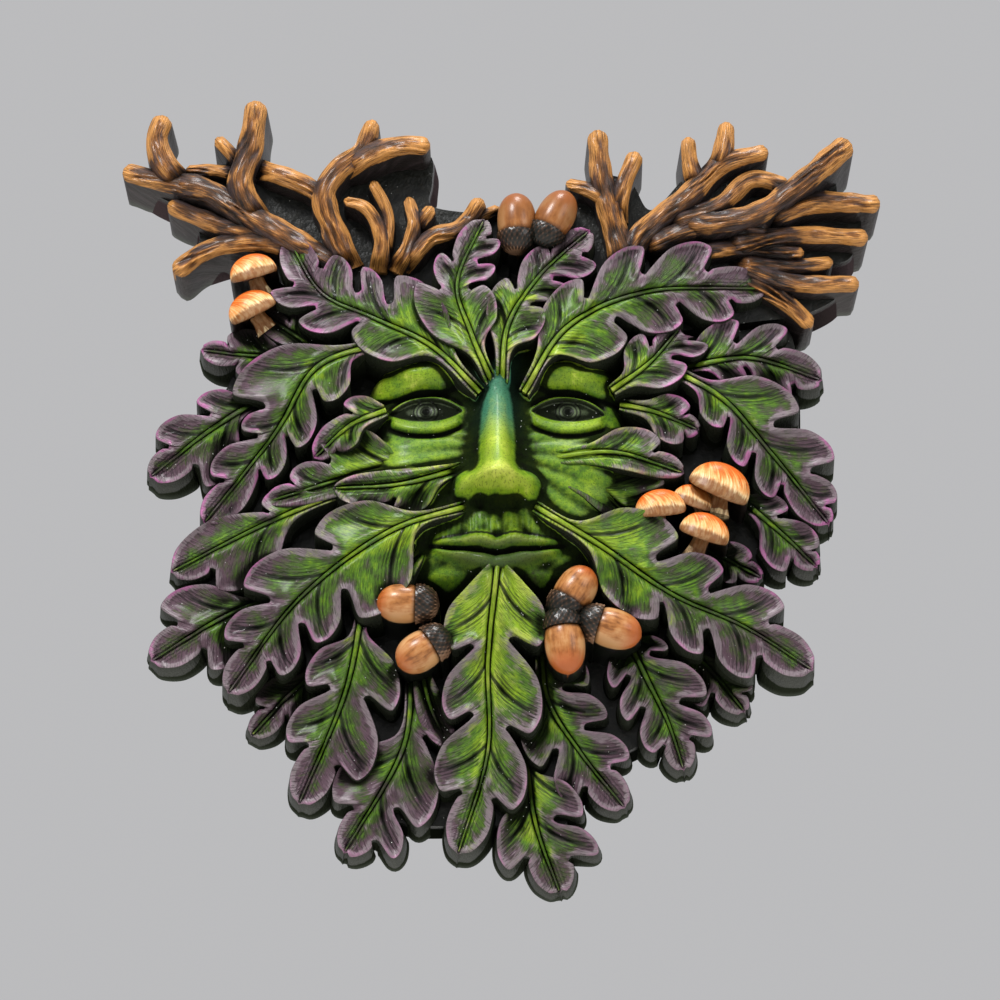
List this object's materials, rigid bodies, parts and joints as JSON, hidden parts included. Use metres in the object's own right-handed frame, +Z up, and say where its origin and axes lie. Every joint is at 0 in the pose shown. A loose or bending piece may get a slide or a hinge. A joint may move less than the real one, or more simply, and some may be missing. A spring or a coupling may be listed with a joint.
{
  "type": "wall plaque",
  "caption": "Cast relief wall plaque of a leafy green man face with antlers, acorns and mushrooms, flat on the back.",
  "frame": {"origin": "on the flat back, behind the bridge of the nose", "axes": "the face looks along -Y, +Y points into the wall, +Z is up"},
  "size_m": [0.2525, 0.056, 0.2676],
  "materials": {
    "painted_resin": "cast resin painted in greens with purple leaf edges, orange-brown antlers, satin to gloss varnish"
  },
  "bodies": {
    "root": {"green_man_mask": "painted_resin"}
  },
  "joints": []
}
